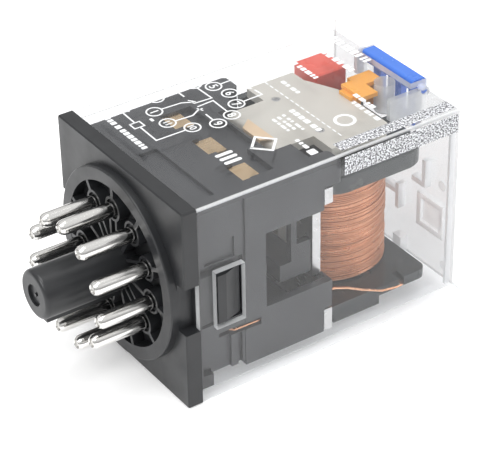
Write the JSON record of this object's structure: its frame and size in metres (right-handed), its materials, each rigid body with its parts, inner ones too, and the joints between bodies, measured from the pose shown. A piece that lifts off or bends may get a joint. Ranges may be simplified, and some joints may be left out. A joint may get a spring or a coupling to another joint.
{
  "type": "plug-in relay",
  "caption": "Plug-in relay with round pins on a keyed base, clear cover that clips over it, upright copper coil, hinged armature, changeover contacts, indicator and latching test lever.",
  "frame": {"origin": "on the plug axis, at the flange's pin-side face", "axes": "+X along the plug axis from the pins to the cover's end, +Z towards the printed side and the armature, +Y across"},
  "size_m": [0.0676, 0.0344, 0.0344],
  "materials": {
    "base_black": "fine moulded black",
    "pin_plating": "bright nickel plating",
    "clear_cover": "clear polycarbonate",
    "block_black": "moulded, slightly glossy",
    "plated_steel": "zinc plated",
    "bobbin_black": "glossy moulded",
    "enamelled_copper": "enamelled copper wire",
    "tinned_wire": "tinned",
    "contact_silver": "silver alloy",
    "spring_bronze": "phosphor bronze",
    "red_plastic": "moulded red",
    "terminal_brass": "bright brass",
    "armature_plate": "matt plated",
    "orange_plastic": "moulded orange",
    "blue_plastic": "moulded blue"
  },
  "bodies": {
    "housing": {"base": "base_black", "plug_pins": "pin_plating", "cover": "clear_cover", "contact_block": "block_black", "spring_clamp": "block_black", "yoke": "plated_steel", "core": "plated_steel", "bobbin": "bobbin_black", "coil_winding": "enamelled_copper", "coil_lead_start": "enamelled_copper", "coil_lead_finish": "enamelled_copper", "contact_leads": "tinned_wire", "open_contact_rivets": "contact_silver", "closed_contact_rivets": "contact_silver", "return_spring": "spring_bronze", "coil_terminal_cap": "red_plastic", "coil_tags": "tinned_wire", "common_terminal_left": "terminal_brass", "common_terminal_centre": "terminal_brass", "common_terminal_right": "terminal_brass", "open_terminal_left": "terminal_brass", "open_terminal_centre": "terminal_brass", "open_terminal_right": "terminal_brass", "closed_terminal_left": "terminal_brass", "closed_terminal_centre": "terminal_brass", "closed_terminal_right": "terminal_brass"},
    "armature_assembly": {"armature": "armature_plate", "armature_rivets": "armature_plate", "contact_card": "block_black", "indicator_flag": "orange_plastic"},
    "left_spring": {"moving_spring_left": "spring_bronze", "moving_contact_left": "contact_silver"},
    "centre_spring": {"moving_spring_centre": "spring_bronze", "moving_contact_centre": "contact_silver"},
    "right_spring": {"moving_spring_right": "spring_bronze", "moving_contact_right": "contact_silver"},
    "test_lever": {"latching_lever": "blue_plastic"}
  },
  "joints": [
    {"name": "armature_hinge", "type": "hinge", "parent": "housing", "child": "armature_assembly", "pos_m": [0.0259, 0, 0.0126], "axis": [0, 1, 0], "range_deg": [0, 5], "stiffness_Nm_per_rad": 0.012, "springref_deg": -6.88},
    {"name": "left_spring_flex", "type": "hinge", "parent": "housing", "child": "left_spring", "pos_m": [0.0155, -0.009, 0.0104], "axis": [0, 1, 0], "range_deg": [0, 6.25]},
    {"name": "centre_spring_flex", "type": "hinge", "parent": "housing", "child": "centre_spring", "pos_m": [0.0155, 0, 0.0104], "axis": [0, 1, 0], "range_deg": [0, 6.25]},
    {"name": "right_spring_flex", "type": "hinge", "parent": "housing", "child": "right_spring", "pos_m": [0.0155, 0.009, 0.0104], "axis": [0, 1, 0], "range_deg": [0, 6.25]},
    {"name": "test_lever_hinge", "type": "hinge", "parent": "housing", "child": "test_lever", "pos_m": [0.0509, 0, 0.01585], "axis": [0, -1, 0], "range_deg": [0, 90]}
  ],
  "couplings": [
    {"joint": "left_spring_flex", "follows": "armature_hinge", "ratio": 1.25},
    {"joint": "centre_spring_flex", "follows": "armature_hinge", "ratio": 1.25},
    {"joint": "right_spring_flex", "follows": "armature_hinge", "ratio": 1.25}
  ]
}
